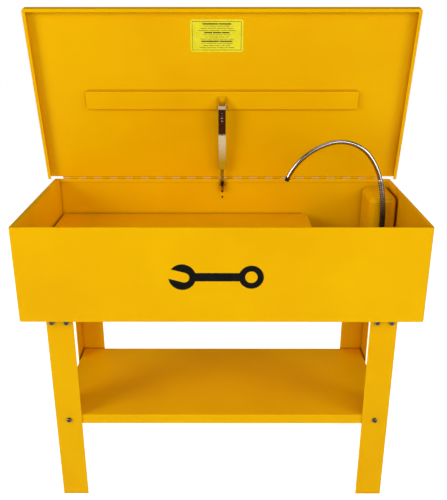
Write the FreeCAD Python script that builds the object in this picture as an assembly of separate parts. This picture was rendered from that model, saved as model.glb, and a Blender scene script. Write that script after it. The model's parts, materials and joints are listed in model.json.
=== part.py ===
import FreeCAD, Part
import math
import os

# Parts washer tank: a folded sheet-steel basin on four angle legs, with a hinged lid held
# open by a telescoping stay, a lift-out work shelf, a submersible pump under a cover and a
# goose-neck spout.
#
# Millimetres. +Z is up, +X is to the right seen from the front, and the front faces -Y.
# The origin is on the floor, under the middle of the basin. The lid is modelled open.

Vec = FreeCAD.Vector
X_AXIS = Vec(1, 0, 0)
Y_AXIS = Vec(0, 1, 0)
Z_AXIS = Vec(0, 0, 1)
TOUCH = 1e-6  # two places nearer than this are the same
FILLET_SPARE = 0.1  # a bend takes this much less than the whole thickness

# ---------------------------------------------------------------- driving dimensions
TANK_LENGTH = 1200.0
TANK_WIDTH = 548.0
TANK_HEIGHT = 295.0
RIM_Z = 973.0
OPEN_ANGLE = 77.7  # lid angle above horizontal when it is held open, degrees

SHEET = 1.5  # basin, lid and shelves
PLATE = 2.5  # legs and their brackets

# ---------------------------------------------------------------- basin
BOTTOM_Z = RIM_Z - TANK_HEIGHT
HALF_LENGTH = TANK_LENGTH / 2
HALF_WIDTH = TANK_WIDTH / 2
CORNER_RADII = (5.0, 10.0, 12.0, 5.0)  # front left, front right, back right, back left
CORNER_RETURN = 13.0  # how far the front and back sheets wrap round onto the ends
HEM_WIDTH = 6.0
HEM_HEIGHT = 12.3
HEM_CROWN = 2.1
HEM_ROUND = 1.9
FLOOR_Z = BOTTOM_Z + 6.0
FLOOR_TOP = FLOOR_Z + SHEET
END_FLANGE = 17.5  # the left end sheet is folded out this far at the rim, and down
LEFT_INSIDE = -HALF_LENGTH + END_FLANGE
CUT_PAST = 10.0  # how far a cutting block reaches past what it cuts

# ---------------------------------------------------------------- drain
DRAIN_X = 430.0
DRAIN_Y = -150.0
DRAIN_BORE = 13.2
DRAIN_SOCKET_R = 18.0
DRAIN_SOCKET_DROP = 22.0
DRAIN_PLUG_CLEARANCE = 0.1
DRAIN_PLUG_SHORT = 3.0
DRAIN_HEAD_SIDE = 16.0
DRAIN_HEAD_HEIGHT = 12.0
DRAIN_HEAD_CHAMFER = 1.5

# ---------------------------------------------------------------- legs and lower shelf
LEG_X = 538.0  # outer face of a leg
LEG_Y = 221.0
LEG_SIDE = 84.0
LEG_BEND = 4.0
LEG_TOP = FLOOR_Z - 0.5
BRACKET_SIDE = 78.0
BRACKET_DROP = 62.0
FOOT_CLIP = (56.0, 42.0)  # corner cut off each side flange at the floor, along and up
LEG_BOLT_Z = 649.0
LEG_BOLT_INSETS = (19.0, 63.0)  # from the leg's outer edge, along each face

SHELF_TOP = 314.5
SHELF_HALF_LENGTH = 532.0
SHELF_HALF_WIDTH = LEG_Y - PLATE
SHELF_LIP = 32.5
SHELF_BEND = 3.0
SHELF_BOLT_X = 495.0
SHELF_BOLT_Z = 297.0

# ---------------------------------------------------------------- M8 fasteners
M8_R = 4.0
M8_HOLE_R = 4.3
M8_FLATS = 13.0
M8_HEAD = 5.3
M8_NUT = 6.5
M8_WASHER_R = 8.0
M8_WASHER = 1.6
M8_PROUD = 2.5  # how far a bolt stands out of its nut
THREAD_CLEARANCE = 0.05

# ---------------------------------------------------------------- work shelf in the basin
WORK_SHELF_TOP = 843.0
WORK_SHELF_LEFT = LEFT_INSIDE + 6.5
WORK_SHELF_RIGHT = 308.0
WORK_SHELF_HALF_WIDTH = 266.5
WORK_SHELF_LIP = 12.0
WORK_SHELF_CORNER = 25.0
WORK_SHELF_LEFT_CORNER = 3.0
SUPPORT_SIDE = 20.0
SUPPORT_THICKNESS = 2.0
SUPPORT_LEFT = -560.0
SUPPORT_RIGHT = 290.0

# ---------------------------------------------------------------- lid and its piano hinge
PIN_R = 1.5
BARREL_R = 3.2
LEAF = 1.0
HINGE_RUNNING_GAP = 0.05
HINGE_Y = HALF_WIDTH + BARREL_R
HINGE_Z = RIM_Z + 5.2
HINGE_HALF_LENGTH = 570.0
KNUCKLES = 41
KNUCKLE_GAP = 0.5
LEAF_WIDTH = 24.0
LEAF_CUTBACK = 4.2
TANK_LEAF_CUTBACK = 3.5

LID_HALF_LENGTH = 617.0
LID_REACH = 587.0
LID_START = 4.7
LID_OUTER = BARREL_R  # depth of the lid's outer face below the hinge axis, when closed
LID_INNER = LID_OUTER + SHEET
LID_DEPTH = 28.0
LID_LIP = 10.6
LID_CORNER = 8.0
LID_BEND = 1.4

RIB_HALF_LENGTH = 453.0
RIB_NEAR = 259.0
RIB_FAR = 320.0
RIB_HEIGHT = 14.0
RIB_SHEET = 1.2
RIB_BEND = 3.0
RIB_CORNER = 6.0

LABEL_LEFT = -100.5
LABEL_RIGHT = 67.5
LABEL_NEAR = 448.0
LABEL_FAR = 550.0
LABEL_CORNER = 8.0
FILM = 0.3

# ---------------------------------------------------------------- lid stay
STAY_TOP_REACH = 275.5  # pivot on the lid, measured from the hinge axis along the lid
STAY_TOP_DEPTH = 38.0
STAY_FOOT_Y = HALF_WIDTH - 10.0
STAY_FOOT_Z = RIM_Z - 20.0
STAY_PIN_R = 3.0
CHANNEL_HALF = 12.5
CHANNEL_SHEET = 1.5
CHANNEL_DEPTH = 14.0
CHANNEL_LENGTH = 231.0
CHANNEL_HEAD = 9.0
CHANNEL_WEB = 7.8  # web's outer face, in front of the pivot line
WINDOW_START = 6.0
WINDOW_END = 93.0
LINK_HALF = 10.8
LINK_THICKNESS = 1.2
LINK_JOIN = (34.0, 54.0)
LINK_END = 100.0
LINK_HEAD = 6.0  # how far the upper strip reaches past the pivot
LINK_SPLIT = 0.5
LAP_INSET = 1.5
LAP_PAST = 14.0
LINK_RIVETS = ((20.0, 3.2), (29.5, 3.0), (39.5, 4.6), (49.5, 4.2), (96.5, 3.0))
RIVET_HEIGHT = 1.8
SLIDE_HALF = 5.8
SLIDE_THICKNESS = 3.0
SLIDE_LENGTH = 150.0
SLIDE_EYE_R = 4.6
EAR_R = 9.5
TOP_EAR_IN = 13.0
TOP_BRACKET_NEAR = 262.0
TOP_BRACKET_FAR = 304.0
FOOT_EAR_IN = 6.4
FOOT_EAR_R = 7.5
FOOT_EAR_DROP = 25.0  # how far the lower ears reach below their pivot
EAR_SHEET = 1.4
FOOT_PLATE_HALF = 10.0
FOOT_PLATE_BOTTOM = RIM_Z - 75.0
FOOT_SCREW_ZS = (RIM_Z - 67.0, RIM_Z - 47.0)
FOOT_SCREW_R = 2.1
FOOT_SCREW_HEAD = (4.0, 2.2)  # radius and height
FOOT_NUT_FLATS = 7.0
FOOT_NUT = 2.6
FOOT_HOLE_R = 2.2
PIVOT_HEAD = (5.5, 3.0)  # radius and height
PIVOT_NUT_FLATS = 10.0
PIVOT_NUT = 3.2
PIVOT_PROUD = 0.3

# ---------------------------------------------------------------- pump and its cover
COVER_LEFT = 503.0
COVER_RIGHT = 596.5
COVER_BACK = 267.5
COVER_FRONT = 122.0
COVER_TOP = 945.0
COVER_ROUND = 20.0
COVER_STUDS = ((COVER_LEFT - 11, 150.0), (COVER_LEFT - 11, 250.0))
COVER_TAB = 10.0
STUD_R = 3.0
STUD_LENGTH = 12.0
STUD_HOLE_R = 3.3
STUD_NUT_FLATS = 10.0
STUD_NUT = 5.0
INTAKE_SLOTS = 5
INTAKE_PITCH = 22.0
INTAKE_WIDTH = 10.0
INTAKE_START = 30.0
INTAKE_LOW = 12.0
INTAKE_HIGH = 42.0
OUTLET_R = 9.5
OUTLET_BORE = 5.0
OUTLET_HOLE_GAP = 1.5
SPIGOT_PROUD = 4.0
PUMP_X = 546.5
PUMP_Z = 722.0
VOLUTE_FRONT = 160.0
VOLUTE_LENGTH = 26.0
VOLUTE_R = 30.0
VOLUTE_WALL = 4.0
VOLUTE_CAVITY_R = 24.0
SUCTION_EYE_R = 9.0
IMPELLER_GAP = 1.5
VANE_HALF = 1.2
IMPELLER_R = 22.0
IMPELLER_HUB_R = 7.0
IMPELLER_VANES = 6
SHAFT_R = 4.0
SHAFT_CLEARANCE = 0.06
SHAFT_LENGTH = 28.0
MOTOR_HALF = 28.5
MOTOR_BACK = 262.0
MOTOR_ROUND = 6.0
PUMP_BASE_TOP = PUMP_Z - VOLUTE_R
PUMP_BASE = 5.0
PUMP_BASE_HALF = 34.0
PUMP_BASE_ROUND = 6.0
PUMP_FOOT_R = 6.0
PUMP_FOOT_INSET = 8.0
GLAND_FLATS = 18.0
GLAND_HEX = 8.0
GLAND_R = 6.5
GLAND_HEIGHT = 16.0
GLAND_BORE = 3.6
GLAND_FLOOR = 4.0

# ---------------------------------------------------------------- spout
SPOUT_X = 544.3
SPOUT_Y = 104.0
OUTLET_Z = 748.0
ELBOW_R = 10.0
ELBOW_BARB = 20.0
HOSE_START_Z = 775.0
HOSE_NUT_FLATS = 26.0
HOSE_NUT = 20.0
HOSE_NUT_FLOOR = 9.0
HOSE_R = 9.2
HOSE_BORE = 6.5
HOSE_STRAIGHT = 94.0
# each bent stretch of the spout is an arc: (radius, degrees turned towards the basin's middle)
HOSE_ARC = (544.0, 14.8)
TUBE_ARCS = ((233.0, 23.1), (124.0, 67.0), (208.0, 50.6))
TUBE_R = 7.8
TUBE_BORE = 5.5
BEND_AT = 136.0  # along the hose, from its start to the middle of its bending length
BEND_GAP = 10.0
BEND_BALL_R = 9.9
TIP_R = 8.8
COLLAR_LIP = 0.25
COLLAR_LENGTH = 6.0
TIP_TURN = 3.6

# ---------------------------------------------------------------- cord entry (no cord is fitted)
GROMMET_Z = 905.0
GROMMET_R = 12.0
GROMMET_NECK_R = 9.0
GROMMET_BORE = 4.5
GROMMET_FLANGE = 2.0

# ---------------------------------------------------------------- front decal
DECAL_CENTRE_X = -16.0
DECAL_CENTRE_Z = 822.0
DECAL_HALF = 138.0
DECAL_HANDLE = 13.0
DECAL_JAW_R = 40.0
DECAL_JAW_SLOT = 15.0
DECAL_RING_R = 36.0
DECAL_RING_HOLE = 18.0


# ================================================================ helpers
def box(x0, x1, y0, y1, z0, z1):
    """A block between two corners."""
    return Part.makeBox(x1 - x0, y1 - y0, z1 - z0, Vec(x0, y0, z0))


def rod(start, axis, radius, length):
    """A round bar from a start point along an axis."""
    return Part.makeCylinder(radius, length, start, axis)


def tube(start, axis, radius, bore, length):
    return rod(start, axis, radius, length).cut(rod(start, axis, bore, length))


def fused(shapes):
    """One clean solid from touching or overlapping ones."""
    return shapes[0].multiFuse(shapes[1:]).removeSplitter()


def rounded_plate(x0, x1, y0, y1, z0, z1, radii):
    """A plate with four corner radii, in the order front left, front right, back right, back left."""
    r = [max(radius, 0.3) for radius in radii]
    half = math.sqrt(0.5)
    corners = (
        ((x0 + r[0], y0 + r[0]), r[0], (-1, 0), (0, -1)),
        ((x1 - r[1], y0 + r[1]), r[1], (0, -1), (1, 0)),
        ((x1 - r[2], y1 - r[2]), r[2], (1, 0), (0, 1)),
        ((x0 + r[3], y1 - r[3]), r[3], (0, 1), (-1, 0)),
    )
    edges = []
    last = None
    first = None
    for (cx, cy), radius, begin, end in corners:
        middle = ((begin[0] + end[0]) * half, (begin[1] + end[1]) * half)
        points = [Vec(cx + d[0] * radius, cy + d[1] * radius, z0) for d in (begin, middle, end)]
        if last is not None:
            edges.append(Part.LineSegment(last, points[0]).toShape())
        else:
            first = points[0]
        edges.append(Part.Arc(*points).toShape())
        last = points[2]
    edges.append(Part.LineSegment(last, first).toShape())
    return Part.Face(Part.Wire(edges)).extrude(Vec(0, 0, z1 - z0))


def edges_at(shape, test):
    """The edges whose every vertex passes a test."""
    return [edge for edge in shape.Edges if all(test(vertex.Point) for vertex in edge.Vertexes)]


def upright_edges(shape):
    """The straight edges that run along Z."""
    found = []
    for edge in shape.Edges:
        if len(edge.Vertexes) == 2:
            a, b = (vertex.Point for vertex in edge.Vertexes)
            if abs(a.x - b.x) < TOUCH and abs(a.y - b.y) < TOUCH:
                found.append(edge)
    return found


def hexagon(centre, axis, flats, length):
    """A hexagonal prism with its far corners turned off, as on a bolt head or nut."""
    radius = flats / math.sqrt(3)
    points = [
        Vec(radius * math.cos(math.radians(60 * i)), radius * math.sin(math.radians(60 * i)), 0)
        for i in range(7)
    ]
    prism = Part.Face(Part.makePolygon(points)).extrude(Vec(0, 0, length))
    crown = length * 0.22
    turned = Part.makeCylinder(radius, length - crown)
    turned = turned.fuse(Part.makeCone(radius, flats / 2 * 0.96, crown, Vec(0, 0, length - crown)))
    shape = prism.common(turned)
    shape.rotate(Vec(0, 0, 0), *turn_to(axis))
    shape.translate(centre)
    return shape


def turn_to(axis):
    """The rotation axis and angle that carry +Z onto an axis."""
    if axis.getAngle(Z_AXIS) < 1e-9:
        return Z_AXIS, 0
    if axis.getAngle(Z_AXIS * -1) < 1e-9:
        return X_AXIS, 180
    return Z_AXIS.cross(axis), math.degrees(Z_AXIS.getAngle(axis))


def round_head(centre, axis, radius, height):
    """A low domed head sitting on a face, its dome along the axis."""
    sphere_r = (radius * radius + height * height) / (2 * height)
    ball = Part.makeSphere(sphere_r, centre - axis * (sphere_r - height))
    return ball.common(rod(centre, axis, radius, height * 1.5))


def bolt(seat, inward, length):
    """An M8 hexagon bolt: its head's underside at the seat, its shank going inward."""
    head = hexagon(seat, inward * -1, M8_FLATS, M8_HEAD)
    return head.fuse(rod(seat, inward, M8_R, length)).removeSplitter()


def washer(seat, axis):
    return tube(seat, axis, M8_WASHER_R, M8_HOLE_R, M8_WASHER)


def nut(seat, axis):
    return hexagon(seat, axis, M8_FLATS, M8_NUT).cut(
        rod(seat, axis, M8_R + THREAD_CLEARANCE, M8_NUT)
    )


# ================================================================ basin
def basin_plate(inset, z0, z1):
    """The basin's plan outline, moved in from its outer face, as a plate."""
    return rounded_plate(
        -HALF_LENGTH + inset,
        HALF_LENGTH - inset,
        -HALF_WIDTH + inset,
        HALF_WIDTH - inset,
        z0,
        z1,
        [radius - inset for radius in CORNER_RADII],
    )


def basin_ring(outer_inset, inner_inset, z0, z1):
    return basin_plate(outer_inset, z0, z1).cut(basin_plate(inner_inset, z0, z1))


def basin_walls():
    """The whole wall with its rim folded in and down, before it is divided into sheets."""
    crown = basin_ring(0, HEM_WIDTH, RIM_Z - HEM_CROWN, RIM_Z)
    crown = crown.makeFillet(HEM_ROUND, edges_at(crown, lambda p: abs(p.z - RIM_Z) < TOUCH))
    wall = basin_ring(0, SHEET, BOTTOM_Z, RIM_Z - HEM_CROWN)
    fold = basin_ring(HEM_WIDTH - SHEET, HEM_WIDTH, RIM_Z - HEM_HEIGHT, RIM_Z - HEM_CROWN)
    return crown.fuse(wall).fuse(fold).removeSplitter()


def left_end_sheet(front, back):
    """The left end: an upright sheet, folded out at the rim to the tank's end and down in a lip."""
    outside = LEFT_INSIDE - SHEET
    under_hem = HALF_WIDTH - HEM_WIDTH
    between_sheets = HALF_WIDTH - SHEET
    split = HALF_WIDTH - CORNER_RETURN
    fold_z = RIM_Z - HEM_HEIGHT
    flange = box(-HALF_LENGTH, LEFT_INSIDE, -under_hem, under_hem, RIM_Z - SHEET, RIM_Z)
    lip = box(-HALF_LENGTH, -HALF_LENGTH + SHEET, -split, split, fold_z, RIM_Z)
    upper = box(outside, LEFT_INSIDE, -under_hem, under_hem, fold_z, RIM_Z)
    lower = box(outside, LEFT_INSIDE, -between_sheets, between_sheets, BOTTOM_Z, fold_z)
    sheet = fused([flange.cut(front).cut(back), lip, upper, lower])
    bends = [
        edge
        for edge in edges_at(sheet, lambda p: abs(p.z - RIM_Z) < TOUCH)
        if abs(edge.CenterOfMass.x + HALF_LENGTH) < TOUCH
        or abs(edge.CenterOfMass.x - LEFT_INSIDE) < TOUCH
    ]
    return sheet.makeFillet(SHEET - FILLET_SPARE, bends)


def basin_panels():
    """Front and back sheets that wrap round the corners, and the two end sheets between them."""
    walls = basin_walls()
    split = HALF_WIDTH - CORNER_RETURN
    far_x = HALF_LENGTH + CUT_PAST
    far_y = HALF_WIDTH + CUT_PAST
    low = BOTTOM_Z - CUT_PAST
    top = RIM_Z + CUT_PAST
    front = walls.common(box(-far_x, far_x, -far_y, -split, low, top))
    back = walls.common(box(-far_x, far_x, split, far_y, low, top))
    right = walls.common(box(0, far_x, -split, split, low, top))
    left = left_end_sheet(front, back)
    back = back.cut(grommet_hole())
    for z in FOOT_SCREW_ZS:
        back = back.cut(rod(Vec(0, HALF_WIDTH - CUT_PAST, z), Y_AXIS, FOOT_HOLE_R, 2 * CUT_PAST))
    return {
        "tank_front_panel": front,
        "tank_back_panel": back,
        "tank_left_panel": left,
        "tank_right_panel": right,
    }


def tank_floor():
    """The bottom sheet, from the left end sheet to the other three walls, with the drain's hole."""
    plate = basin_plate(SHEET, FLOOR_Z, FLOOR_TOP)
    past_left = box(
        -HALF_LENGTH - CUT_PAST,
        LEFT_INSIDE,
        -HALF_WIDTH,
        HALF_WIDTH,
        FLOOR_Z - CUT_PAST,
        FLOOR_TOP + CUT_PAST,
    )
    drain = rod(Vec(DRAIN_X, DRAIN_Y, FLOOR_Z - CUT_PAST), Z_AXIS, DRAIN_BORE, 2 * CUT_PAST)
    return plate.cut(past_left).cut(drain)


def drain_parts():
    """A threaded socket welded under the floor, and its square-headed plug."""
    seat = Vec(DRAIN_X, DRAIN_Y, FLOOR_Z - DRAIN_SOCKET_DROP)
    socket = tube(seat, Z_AXIS, DRAIN_SOCKET_R, DRAIN_BORE, DRAIN_SOCKET_DROP)
    body = rod(
        seat, Z_AXIS, DRAIN_BORE - DRAIN_PLUG_CLEARANCE, DRAIN_SOCKET_DROP - DRAIN_PLUG_SHORT
    )
    half = DRAIN_HEAD_SIDE / 2
    head = box(
        DRAIN_X - half,
        DRAIN_X + half,
        DRAIN_Y - half,
        DRAIN_Y + half,
        seat.z - DRAIN_HEAD_HEIGHT,
        seat.z,
    )
    head = head.makeChamfer(DRAIN_HEAD_CHAMFER, edges_at(head, lambda p: p.z < seat.z - TOUCH))
    return {"drain_socket": socket, "drain_plug": fused([body, head])}


def cord_grommet():
    """The rubber bush that the pump's cord would leave through."""
    wall_in = HALF_WIDTH - SHEET
    inner = Vec(PUMP_X, wall_in - GROMMET_FLANGE, GROMMET_Z)
    length = SHEET + 2 * GROMMET_FLANGE
    neck = rod(inner, Y_AXIS, GROMMET_NECK_R, length)
    flanges = [
        rod(inner, Y_AXIS, GROMMET_R, GROMMET_FLANGE),
        rod(Vec(PUMP_X, HALF_WIDTH, GROMMET_Z), Y_AXIS, GROMMET_R, GROMMET_FLANGE),
    ]
    return fused([neck] + flanges).cut(rod(inner, Y_AXIS, GROMMET_BORE, length))


def grommet_hole():
    start = Vec(PUMP_X, HALF_WIDTH - CUT_PAST, GROMMET_Z)
    return rod(start, Y_AXIS, GROMMET_NECK_R, 2 * CUT_PAST)


# ================================================================ work shelf
def work_shelf():
    """A plain sheet that drops in past the rim, with its two ends turned down."""
    top = WORK_SHELF_TOP
    width = WORK_SHELF_HALF_WIDTH
    sheet = rounded_plate(
        WORK_SHELF_LEFT,
        WORK_SHELF_RIGHT,
        -width,
        width,
        top - SHEET,
        top,
        (WORK_SHELF_LEFT_CORNER, WORK_SHELF_CORNER, WORK_SHELF_CORNER, WORK_SHELF_LEFT_CORNER),
    )
    lip_half = width - WORK_SHELF_CORNER
    left = box(
        WORK_SHELF_LEFT, WORK_SHELF_LEFT + SHEET, -lip_half, lip_half, top - WORK_SHELF_LIP, top
    )
    right = box(
        WORK_SHELF_RIGHT - SHEET, WORK_SHELF_RIGHT, -lip_half, lip_half, top - WORK_SHELF_LIP, top
    )
    return fused([sheet, left, right])


def shelf_support(side):
    """An angle welded inside the front (side -1) or back (side 1) wall."""
    wall = side * (HALF_WIDTH - SHEET)
    top = WORK_SHELF_TOP - SHEET
    depth = wall - side * SUPPORT_SIDE
    web = wall - side * SUPPORT_THICKNESS
    flat = box(
        SUPPORT_LEFT,
        SUPPORT_RIGHT,
        min(wall, depth),
        max(wall, depth),
        top - SUPPORT_THICKNESS,
        top,
    )
    upright = box(
        SUPPORT_LEFT, SUPPORT_RIGHT, min(wall, web), max(wall, web), top - SUPPORT_SIDE, top
    )
    return fused([flat, upright])


# ================================================================ legs and lower shelf
def angle_section(outer_x, outer_y, side, thickness, bend, z0, z1):
    """An angle whose outer corner is at (outer_x, outer_y), open towards the middle."""
    sx = 1 if outer_x > 0 else -1
    sy = 1 if outer_y > 0 else -1
    block = box(0, side, 0, side, z0, z1)
    hollow = box(thickness, side + 1, thickness, side + 1, z0 - 1, z1 + 1)
    shape = block.cut(hollow)

    def corner(x, y):
        return [e for e in upright_edges(shape) if abs(e.CenterOfMass.x - x) < 0.01
                and abs(e.CenterOfMass.y - y) < 0.01]

    shape = shape.makeFillet(bend, corner(0, 0))
    shape = shape.makeFillet(max(bend - thickness, 0.8), corner(thickness, thickness))
    if sx > 0:
        shape = shape.mirror(Vec(0, 0, 0), X_AXIS)
    if sy > 0:
        shape = shape.mirror(Vec(0, 0, 0), Y_AXIS)
    shape.translate(Vec(outer_x, outer_y, 0))
    return shape


def leg_bolt_seats(sx, sy):
    """The points on one leg's outer faces where its top bolts enter, with their directions."""
    seats = []
    for inset in LEG_BOLT_INSETS:
        seats.append((Vec(sx * (LEG_X - inset), sy * LEG_Y, LEG_BOLT_Z), Vec(0, -sy, 0)))
        seats.append((Vec(sx * LEG_X, sy * (LEG_Y - inset), LEG_BOLT_Z), Vec(-sx, 0, 0)))
    return seats


def shelf_bolt_seat(sx, sy):
    return Vec(sx * SHELF_BOLT_X, sy * LEG_Y, SHELF_BOLT_Z), Vec(0, -sy, 0)


def drilled(shape, seats):
    """The shape with a clearance hole at each seat."""
    for seat, inward in seats:
        shape = shape.cut(rod(seat - inward * 10, inward, M8_HOLE_R, 30))
    return shape


def leg(sx, sy):
    """An angle with its bolt holes, and with its side flange's free corner clipped at the foot."""
    shape = angle_section(sx * LEG_X, sy * LEG_Y, LEG_SIDE, PLATE, LEG_BEND, 0, LEG_TOP)
    along, up = FOOT_CLIP
    free_y = sy * (LEG_Y - LEG_SIDE)
    start_x = sx * LEG_X - CUT_PAST
    corners = [Vec(start_x, y, z) for y, z in ((free_y, 0), (free_y + sy * along, 0), (free_y, up))]
    clip = Part.Face(Part.makePolygon(corners + corners[:1])).extrude(X_AXIS * (2 * CUT_PAST))
    return drilled(shape.cut(clip), leg_bolt_seats(sx, sy) + [shelf_bolt_seat(sx, sy)])


def leg_bracket(sx, sy):
    """The angle welded under the floor that a leg bolts onto, with a flat top flange."""
    outer_x = LEG_X - PLATE
    outer_y = LEG_Y - PLATE
    angle = angle_section(
        sx * outer_x, sy * outer_y, BRACKET_SIDE, PLATE, LEG_BEND - 1.5, FLOOR_Z - BRACKET_DROP, FLOOR_Z
    )
    xs = sorted((sx * (outer_x - 1), sx * (outer_x - BRACKET_SIDE)))
    ys = sorted((sy * (outer_y - 1), sy * (outer_y - BRACKET_SIDE)))
    flange = box(xs[0], xs[1], ys[0], ys[1], FLOOR_Z - PLATE, FLOOR_Z)
    return drilled(fused([angle, flange]), leg_bolt_seats(sx, sy))


CORNERS = {
    "front_left": (-1, -1),
    "front_right": (1, -1),
    "back_left": (-1, 1),
    "back_right": (1, 1),
}


def legs_and_brackets():
    nodes = {}
    for name, (sx, sy) in CORNERS.items():
        nodes["leg_" + name] = leg(sx, sy)
        nodes["leg_bracket_" + name] = leg_bracket(sx, sy)
    return nodes


def lower_shelf():
    """A tray with four down-turned lips, bolted to the legs through its front and back lips."""
    x = SHELF_HALF_LENGTH
    y = SHELF_HALF_WIDTH
    bottom = SHELF_TOP - SHELF_LIP
    outer = box(-x, x, -y, y, bottom, SHELF_TOP)
    outer = outer.makeFillet(SHELF_BEND, edges_at(outer, lambda p: abs(p.z - SHELF_TOP) < TOUCH))
    inner = box(-x + SHEET, x - SHEET, -y + SHEET, y - SHEET, bottom - 1, SHELF_TOP - SHEET)
    inner = inner.makeFillet(
        SHELF_BEND - SHEET, edges_at(inner, lambda p: abs(p.z - SHELF_TOP + SHEET) < TOUCH)
    )
    return drilled(outer.cut(inner), [shelf_bolt_seat(sx, sy) for sx, sy in CORNERS.values()])


def frame_fasteners():
    """The bolts of the legs and of the lower shelf, and the washers and nuts that they share."""
    leg_seats = []
    shelf_seats = []
    for sx, sy in CORNERS.values():
        leg_seats += leg_bolt_seats(sx, sy)
        shelf_seats.append(shelf_bolt_seat(sx, sy))
    nodes = {}
    washers = []
    nuts = []
    sets = (("leg_bolts", leg_seats, 2 * PLATE), ("shelf_bolts", shelf_seats, PLATE + SHEET))
    for name, seats, grip in sets:
        bolts = []
        for seat, inward in seats:
            under_head = seat - inward * M8_WASHER
            bolts.append(bolt(under_head, inward, M8_WASHER + grip + M8_NUT + M8_PROUD))
            washers.append(washer(under_head, inward))
            nuts.append(nut(seat + inward * grip, inward))
        nodes[name] = Part.makeCompound(bolts)
    nodes["frame_washers"] = Part.makeCompound(washers)
    nodes["frame_nuts"] = Part.makeCompound(nuts)
    return nodes


# ================================================================ lid, in its closed place
def lid_box(x0, x1, near, far, depth0, depth1):
    """A block on the closed lid: near and far from the hinge axis, and depths below it."""
    return box(x0, x1, HINGE_Y - far, HINGE_Y - near, HINGE_Z - depth1, HINGE_Z - depth0)


def lid_plate(inset, near, depth0, depth1):
    """The lid's plan outline, moved in from its outer faces, as a plate."""
    radius = LID_CORNER - inset
    return rounded_plate(
        -LID_HALF_LENGTH + inset,
        LID_HALF_LENGTH - inset,
        HINGE_Y - LID_REACH + inset,
        HINGE_Y - near,
        HINGE_Z - depth1,
        HINGE_Z - depth0,
        (radius, radius, 0, 0),
    )


def opened(shape):
    """Swing a shape from the closed lid's place to the open one."""
    turned = shape.copy()
    turned.rotate(Vec(0, HINGE_Y, HINGE_Z), X_AXIS, -OPEN_ANGLE)
    return turned


def lid_pan():
    """A shallow pan: the panel, three flanges and a lip turned in along them; the rear is open."""
    pan = lid_plate(0, LID_START, LID_OUTER, LID_DEPTH)
    outer_z = HINGE_Z - LID_OUTER
    front_y = HINGE_Y - LID_START - 0.01
    bends = [
        edge
        for edge in pan.Edges
        if all(abs(v.Point.z - outer_z) < TOUCH for v in edge.Vertexes)
        and not all(v.Point.y > front_y for v in edge.Vertexes)
        and edge.Length > 1
    ]
    pan = pan.makeFillet(LID_BEND, bends)
    hollow = lid_plate(SHEET, LID_START - 20, LID_INNER, LID_DEPTH - SHEET)
    mouth = lid_plate(LID_LIP, LID_START - 20, LID_DEPTH - SHEET - 1, LID_DEPTH + 1)
    return opened(pan.cut(hollow).cut(mouth))


def lid_rib():
    """The stiffener welded across the inside of the lid."""
    far = LID_INNER + RIB_HEIGHT
    outer = lid_box(-RIB_HALF_LENGTH, RIB_HALF_LENGTH, RIB_NEAR, RIB_FAR, LID_INNER, far)
    outer = outer.makeFillet(RIB_CORNER, upright_edges(outer))
    outer = outer.makeFillet(
        RIB_BEND, edges_at(outer, lambda p: abs(p.z - (HINGE_Z - far)) < TOUCH)
    )
    wall = RIB_SHEET
    inner = lid_box(
        -RIB_HALF_LENGTH + wall,
        RIB_HALF_LENGTH - wall,
        RIB_NEAR + wall,
        RIB_FAR - wall,
        LID_INNER - 1,
        far - wall,
    )
    inner = inner.makeFillet(RIB_CORNER - wall, upright_edges(inner))
    return opened(outer.cut(inner))


def label_plate():
    """A printed information plate on the inside of the lid, with no wording modelled."""
    radii = [LABEL_CORNER] * 4
    plate = rounded_plate(
        LABEL_LEFT,
        LABEL_RIGHT,
        HINGE_Y - LABEL_FAR,
        HINGE_Y - LABEL_NEAR,
        HINGE_Z - LID_INNER - FILM,
        HINGE_Z - LID_INNER,
        radii,
    )
    return opened(plate)


# ================================================================ piano hinge
def knuckle_span(index):
    """The start and length of one knuckle along the hinge."""
    pitch = 2 * HINGE_HALF_LENGTH / KNUCKLES
    return -HINGE_HALF_LENGTH + index * pitch + KNUCKLE_GAP / 2, pitch - KNUCKLE_GAP


def hinge_leaf(first, plate, bridge):
    """A leaf: its plate, and every second knuckle with the bridge that joins it to the plate."""
    pieces = [plate]
    for index in range(first, KNUCKLES, 2):
        start, length = knuckle_span(index)
        pieces.append(rod(Vec(start, HINGE_Y, HINGE_Z), X_AXIS, BARREL_R, length))
        pieces.append(bridge(start, start + length))
    leaf = fused(pieces)
    bore = rod(
        Vec(-HINGE_HALF_LENGTH - 1, HINGE_Y, HINGE_Z),
        X_AXIS,
        PIN_R + HINGE_RUNNING_GAP,
        2 * HINGE_HALF_LENGTH + 2,
    )
    return leaf.cut(bore)


def hinge_parts():
    end = HINGE_HALF_LENGTH - KNUCKLE_GAP / 2
    wall = HALF_WIDTH
    tank_plate = box(-end, end, wall, wall + LEAF, HINGE_Z - LEAF_WIDTH, HINGE_Z - TANK_LEAF_CUTBACK)
    tank_leaf = hinge_leaf(
        1,
        tank_plate,
        lambda x0, x1: box(x0, x1, wall, wall + LEAF, HINGE_Z - TANK_LEAF_CUTBACK, HINGE_Z),
    )
    low = LID_OUTER - LEAF
    lid_plate_shape = lid_box(-end, end, LEAF_CUTBACK, LEAF_WIDTH, low, LID_OUTER)
    lid_leaf = hinge_leaf(
        0,
        lid_plate_shape,
        lambda x0, x1: lid_box(x0, x1, 0, LEAF_CUTBACK, low, LID_OUTER),
    )
    pin = rod(
        Vec(-HINGE_HALF_LENGTH - 2, HINGE_Y, HINGE_Z), X_AXIS, PIN_R, 2 * HINGE_HALF_LENGTH + 4
    )
    return {
        "hinge_tank_leaf": tank_leaf,
        "hinge_lid_leaf": opened(lid_leaf),
        "hinge_pin": pin,
    }


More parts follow.
